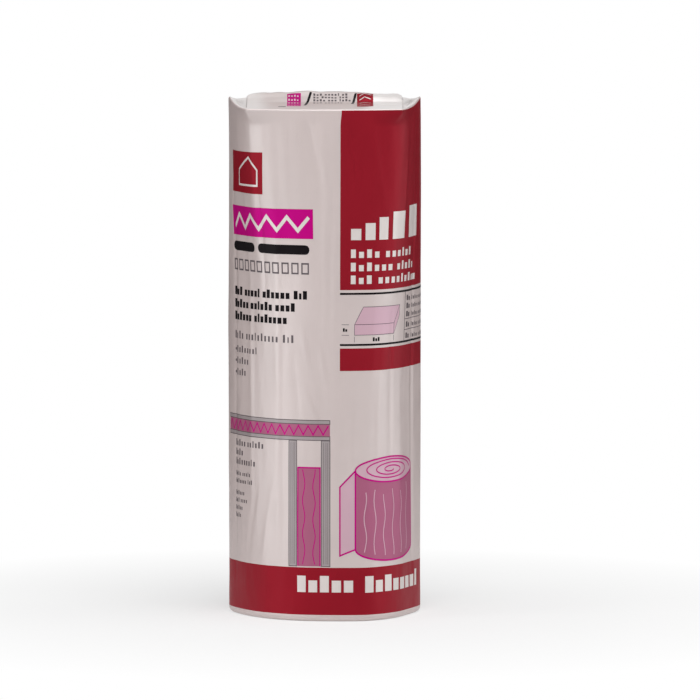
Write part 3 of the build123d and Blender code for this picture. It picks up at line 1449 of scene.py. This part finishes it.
def cut_face(face: Face, axis: int, line: float, keep: float) -> Face:
    """Cut a convex face by a grid line.

    Args:
        face: The face's corners in order.
        axis: 0 to cut by a column, 1 to cut by a row.
        line: Where the line is.
        keep: 1 to keep what lies above the line, -1 to keep what lies below.

    Returns:
        The corners of what is kept.
    """
    kept = []
    for here, there in zip(face, face[1:] + face[:1]):
        near = (here[axis] - line) * keep
        far = (there[axis] - line) * keep
        if near >= 0:
            kept.append(here)
        if near * far < 0:
            share = near / (near - far)
            kept.append(tuple(a + (b - a) * share for a, b in zip(here, there)))
    return kept


@dataclass
class PrintLayers:
    """The fine print as thin pieces that follow the film, one for each ink."""

    sheet: FilmSheet
    effects: SurfaceEffects
    art: PrintArt
    lift: float = 0.08
    level_step: float = 0.05

    TOUCHING = 1e-6

    def __post_init__(self) -> None:
        """Note the lines of the film's grid, with the first column again after the last."""
        self.lines = (np.append(self.sheet.columns, self.sheet.half_round), self.sheet.rows)

    def build(self) -> list[bpy.types.Object]:
        """Cut the art along the film's grid and lay it on the film.

        Returns:
            The finished pieces.
        """
        return [self._piece(ink, faces) for ink, faces in self.art.faces.items()]

    def _strips(self, face: Face, axis: int) -> list[tuple[int, Face]]:
        """Cut a face into strips between the grid's lines along one axis.

        Args:
            face: The face's corners in order.
            axis: 0 to cut it by columns, 1 to cut it by rows.

        Returns:
            The column or row of each strip, and the strip.
        """
        lines = self.lines[axis]
        low = min(corner[axis] for corner in face)
        high = max(corner[axis] for corner in face)
        first = int(np.searchsorted(lines, low + self.TOUCHING, side="right")) - 1
        last = int(np.searchsorted(lines, high - self.TOUCHING, side="left")) - 1
        strips = []
        for index in range(first, last + 1):
            part = cut_face(face, axis, lines[index], 1.0) if index > first else face
            part = cut_face(part, axis, lines[index + 1], -1.0) if index < last else part
            if len(part) > 2:
                strips.append((index, part))
        return strips

    def _piece(self, ink: Ink, faces: list[tuple[int, Face]]) -> bpy.types.Object:
        """Make the piece for one ink.

        Args:
            ink: The ink.
            faces: What is printed in it, with each face's level.

        Returns:
            The finished piece.
        """
        cells, places, lifts, corners = [], [], [], []
        for level, face in faces:
            parts = [(j, i, part) for i, strip in self._strips(face, 0)
                     for j, part in self._strips(strip, 1)]
            for j, i, part in parts:
                corners.append(list(range(len(places), len(places) + len(part))))
                places.extend(part)
                cells.extend([(j, i)] * len(part))
                lifts.extend([self.lift + self.level_step * level] * len(part))
        points, normals = self._on_film(np.array(cells), np.array(places), np.array(lifts))
        piece = new_piece(f"print_{ink.value}", points, corners)
        piece.data.normals_split_custom_set_from_vertices(normals.tolist())
        piece.data.materials.append(INK_FINISHES[ink].material(self.effects))
        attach(piece, BODY)
        return piece

    def _on_film(self, cells: np.ndarray, places: np.ndarray,
                 lifts: np.ndarray) -> tuple[np.ndarray, np.ndarray]:
        """Place points of the flat sheet on the film.

        Args:
            cells: Each point's row and column in the film's grid.
            places: Each point's distance round and height up the sheet.
            lifts: Each point's distance off the film.

        Returns:
            The points in millimetres, and the film's normal at each.
        """
        j, i = cells.T
        columns, rows = self.lines
        fx = ((places[:, 0] - columns[i]) / (columns[i + 1] - columns[i]))[:, None]
        fy = ((places[:, 1] - rows[j]) / (rows[j + 1] - rows[j]))[:, None]
        k = (i + 1) % len(self.sheet.columns)
        blended = []
        for grid in (self.sheet.points, self.sheet.normals):
            low = grid[j, i] * (1 - fx) + grid[j, k] * fx
            high = grid[j + 1, i] * (1 - fx) + grid[j + 1, k] * fx
            blended.append(low * (1 - fy) + high * fy)
        points, normals = blended
        normals /= np.linalg.norm(normals, axis=1, keepdims=True)
        return points + normals * lifts[:, None], normals


@dataclass
class PackDesign:
    """What is printed on the pack: plain bars for words, and drawings of batts and studs."""

    left_edge: float = -113.0
    panel_left: float = 13.9
    wrap_end: float = 217.0
    fin_root: float = 485.8
    art: PrintArt = field(init=False, default_factory=PrintArt)

    def blocks(self) -> list[Block]:
        """List the broad red blocks.

        Returns:
            The left, low, right and high edge of each.
        """
        return [
            (-300.0, 5.4, 300.0, 43.4),
            (self.panel_left, 201.0, self.wrap_end, 219.0),
            (self.panel_left, 265.6, self.wrap_end, 408.9),
        ]

    def draw(self) -> PrintArt:
        """Draw all the fine print once.

        Returns:
            The art on the flat sheet.
        """
        self._badge()
        self._titles()
        self._red_panel()
        self._facts()
        self._batt_picture()
        self._stud_wall()
        self._roll_picture()
        self._foot_band()
        self._fin()
        return self.art

    def _badge(self) -> None:
        """A red square with a plain house in white line."""
        square = [(-111.0, 341.2), (-58.4, 340.9), (-55.3, 374.8), (-106.5, 373.8)]
        house = [(-92.9, 347.5), (-63.9, 347.6), (-62.4, 360.1), (-71.6, 370.1), (-89.8, 359.7)]
        self.art.shape(Ink.DARK_RED, square)
        self.art.stroke(Ink.WHITE, house + house[:1], 1.7, 1)

    def _titles(self) -> None:
        """The batt hatch and the blocks for the words on the white side."""
        art, left = self.art, self.left_edge
        art.block(Ink.MAGENTA, left, 306.2, -10.4, 330.0)
        zigzag = [(left + 5.0 + 10.4 * k, 323.4 if k % 2 else 312.8) for k in range(10)]
        art.stroke(Ink.WHITE, zigzag, 3.0, 1)
        art.bar(Ink.BLACK, left, -74.0, 297.4, 7.6)
        art.bar(Ink.BLACK, -69.0, -14.0, 297.4, 7.6)
        art.frames(Ink.GREY, left, 277.8, (7.4, 9.2), 10, 10.1, 1.3)
        for base, counts in ((257.8, [3, 5, 6, 3]), (247.8, [5, 6, 4]), (237.8, [6, 8])):
            art.words(Ink.BLACK, left, base, 6.8, counts, 5.4)
        art.words(Ink.GREY, left, 222.8, 6.2, [4, 10, 3], 4.8, 0.45)
        for base, count in ((211.8, 8), (202.6, 5), (193.4, 4)):
            art.disc(Ink.GREY, (left + 1.4, base + 2.4), (1.5, 1.1))
            art.words(Ink.GREY, left + 5.0, base, 5.4, [count], 4.6, 0.45)

    def _red_panel(self) -> None:
        """Rising bars and the blocks for words, in white on the red."""
        foot = 305.4
        bars = [(23.4, 32.4, 9.0), (36.2, 45.2, 13.5), (49.0, 58.0, 18.0), (63.0, 80.0, 22.0)]
        for left, right, height in (*bars, (89.0, 112.0, 25.4)):
            self.art.block(Ink.WHITE, left, foot, right, foot + height)
        for base, counts in ((291.2, [4, 6]), (280.6, [6, 5]), (270.4, [3, 9])):
            self.art.words(Ink.WHITE, 23.4, base, 6.8, counts, 7.2, 0.6)

    def _facts(self) -> None:
        """The white panel between its two rules, with a small table on its right."""
        art, left, right = self.art, self.panel_left, self.wrap_end
        low, high, table_left = 222.6, 261.8, 87.4
        art.block(Ink.BLACK, left, high, right, high + 1.6)
        art.block(Ink.BLACK, left, low - 1.6, right, low)
        art.block(Ink.GREY, table_left - 0.8, low, table_left, high)
        for rule in (239.6, 231.0):
            art.block(Ink.GREY, table_left, rule, right, rule + 0.5)
        for base in (254.6, 248.2, 241.6, 233.2, 224.2):
            art.words(Ink.GREY, 90.0, base, 4.4, [2], 4.4)
            art.words(Ink.GREY, 104.0, base, 3.4, [5, 6], 3.4, 0.5)

    def _batt_picture(self) -> None:
        """A batt lying flat, with lines and blocks for its sizes."""
        art, left, right, low, high = self.art, 27.0, 69.0, 229.6, 238.0
        front = [(left, low), (right, low), (right, high), (left, high)]
        top = [(left, high), (right, high), (77.0, 252.0), (35.0, 252.0)]
        side = [(right, low), (77.0, 243.6), (77.0, 252.0), (right, high)]
        for face in (front, top, side):
            art.outlined(Ink.PALE_PINK, face, 0.4)
        for level in (low, high):
            art.block(Ink.GREY, 15.4, level - 0.2, 22.0, level + 0.2)
        for end in (left, right):
            art.block(Ink.GREY, end - 0.2, 223.8, end + 0.2, 228.4)
        art.words(Ink.BLACK, 44.0, 224.4, 3.2, [3], 2.6)
        art.words(Ink.BLACK, 16.6, 232.4, 2.8, [2], 2.2)

    def _stud_wall(self) -> None:
        """A stud bay filled with quilted batt, and blocks for words beside it."""
        art, foot = self.art, 44.4
        for base, counts in ((136.5, [5, 6]), (129.0, [4]), (121.5, [9])):
            art.words(Ink.GREY, self.left_edge, base, 5.2, counts, 4.4, 0.5)
        small = {112.5: [4, 5], 106.5: [7, 3], 97.0: [6], 91.0: [3, 4], 85.0: [5], 79.0: [4]}
        for base, counts in small.items():
            art.words(Ink.GREY, self.left_edge, base, 3.6, counts, 3.3, 0.5)
        left, right = -127.0, 5.0
        for low, high in ((158.4, 161.4), (145.4, 148.4)):
            board = [(left, low), (right, low), (right, high), (left, high)]
            art.outlined(Ink.PALE_GREY, board, 0.6)
        art.block(Ink.PINK, left, 148.7, right, 158.1)
        hatch = [(left + 1.0 + 4.8 * k, 157.0 if k % 2 else 149.8) for k in range(28)]
        art.stroke(Ink.MAGENTA, hatch, 1.1, 1)
        for near in (-35.0, -3.0):
            post = [(near, foot), (near + 8.0, foot), (near + 8.0, 145.1), (near, 145.1)]
            art.outlined(Ink.PALE_GREY, post, 0.6)
            for x in (near + 2.2, near + 4.4, near + 6.0):
                art.block(Ink.GREY, x - 0.15, 46.0, x + 0.15, 143.5, 1)
        art.block(Ink.PINK, -26.4, foot, -3.6, 124.0)
        for x in (-20.0, -10.0):
            quilt = [(x + 1.2 * math.sin(k * 0.9 + x), 46.0 + 76.0 * k / 20) for k in range(21)]
            art.stroke(Ink.MAGENTA, quilt, 0.8, 1)
        art.stroke(Ink.MAGENTA, [(-25.8, 44.8), (-25.8, 123.4), (-4.2, 123.4), (-4.2, 44.8)], 1.2, 1)

    def _roll_picture(self) -> None:
        """A standing roll of batt, its turns showing on top."""
        art = self.art
        middle, radius, tilt = 67.0, 39.0, 10.0
        low, high = 58.0, 121.0
        left, right, top = middle - radius, middle + radius, (middle, high)
        tail = [(14.0, 53.0), (left, low), (left, high), (14.0, 108.0)]
        art.shape(Ink.PALE_PINK, tail)
        art.stroke(Ink.MAGENTA, [tail[1], tail[0], tail[3], tail[2]], 1.3, 1)
        turns = [math.pi + math.pi * k / 18 for k in range(19)]
        bottom = [on_ellipse((middle, low), (radius, tilt), turn) for turn in turns]
        art.shape(Ink.PINK, [*bottom, (right, high), (left, high)])
        art.disc(Ink.PALE_PINK, top, (radius, tilt), 1)
        art.stroke(Ink.MAGENTA, [(left, high), *bottom, (right, high)], 1.4, 2)
        rim = [on_ellipse(top, (radius, tilt), math.tau * k / 48) for k in range(49)]
        art.stroke(Ink.MAGENTA, rim, 1.3, 3)
        spiral = []
        for k in range(109):
            share = 0.86 - k / 140
            spiral.append(on_ellipse(top, (radius * share, tilt * share), math.tau * 3.0 * k / 108))
        art.stroke(Ink.MAGENTA, spiral, 1.0, 3)
        fibres = {37.0: 106.0, 47.0: 110.0, 58.0: 107.0, 70.0: 111.0, 82.0: 108.0, 94.0: 112.0}
        for x, end in fibres.items():
            dip = tilt * math.sqrt(max(0.0, 1 - ((x - middle) / radius) ** 2))
            path = [(x + 1.2 * math.sin(0.8 * k + x), low - dip + 4 + (end - low) * k / 12)
                    for k in range(13)]
            art.stroke(Ink.PALE_PINK, path, 0.8, 1)

    def _foot_band(self) -> None:
        """Two rows of white blocks on the red band at the foot."""
        self.art.words(Ink.WHITE, -26.4, 23.6, 13.2, [5], 11.0, 0.76)
        self.art.words(Ink.WHITE, 37.0, 23.2, 13.2, [8], 11.0, 0.76)

    def _fin(self) -> None:
        """What the cut across the fin leaves of the print on the web of film."""
        art, root = self.art, self.fin_root
        art.block(Ink.MAGENTA, -30.0, root - 24.0, -19.0, root + 15.0)
        art.block(Ink.DARK_RED, 26.0, root - 26.0, 39.0, root + 14.0)
        for start, end in (((-16.0, -16.0), (-11.0, 16.0)), ((22.0, -10.0), (25.0, 15.0))):
            art.stroke(Ink.BLACK, [(start[0], root + start[1]), (end[0], root + end[1])], 1.9)
        art.block(Ink.BLACK, -37.0, root - 30.0, -31.0, root - 24.0)
        for base, counts in ((-6.0, [3, 6]), (1.0, [4, 3, 4]), (6.0, [2, 5, 3]), (11.0, [3, 5, 2])):
            art.words(Ink.GREY, -9.0, root + base, 3.6, counts, 2.6, 0.6)
        for base in (-16.0, -6.0, 2.0, 9.0):
            tick = [(28.0, root + base), (32.0, root + base + 4.0), (37.0, root + base + 1.0)]
            art.words(Ink.WHITE, -29.0, root + base, 3.0, [4], 2.3, 0.5, 1)
            art.stroke(Ink.WHITE, tick, 0.9, 1)


def main() -> None:
    """Build the bagged roll and its studio, and report each piece."""
    logging.basicConfig(level=logging.INFO, format="%(name)s: %(message)s")
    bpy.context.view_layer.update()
    Studio().build()
    effects = SurfaceEffects()
    design = PackDesign()
    sheet = make_sheet(PackSizes.from_frame(), design)
    bag = FilmBag(sheet, effects, design.blocks()).build()
    pieces = [bag]
    pieces += PrintLayers(sheet, effects, design.draw()).build()
    pieces.append(BaseFin(bag.data.materials[0], sheet.sizes.front_half).build())
    pieces.append(WoolRoll(sheet, effects).build())
    for piece in pieces:
        log.info("%s: %d faces", piece.name, len(piece.data.polygons))


def make_sheet(sizes: PackSizes, design: PackDesign) -> FilmSheet:
    """Lay out the film with grid lines along the edges of the seam and of the printed blocks.

    Args:
        sizes: The pack's sizes.
        design: What is printed on it.

    Returns:
        The sheet with its folds in place.
    """
    seam = sizes.SEAM_HALF_WIDTH
    columns = [seam, seam + sizes.SEAM_EDGE, design.panel_left]
    rows = sorted({edge for block in design.blocks() for edge in block[1::2]})
    return FilmSheet(sizes, CREASES, columns, rows)


if __name__ == "__main__":
    main()
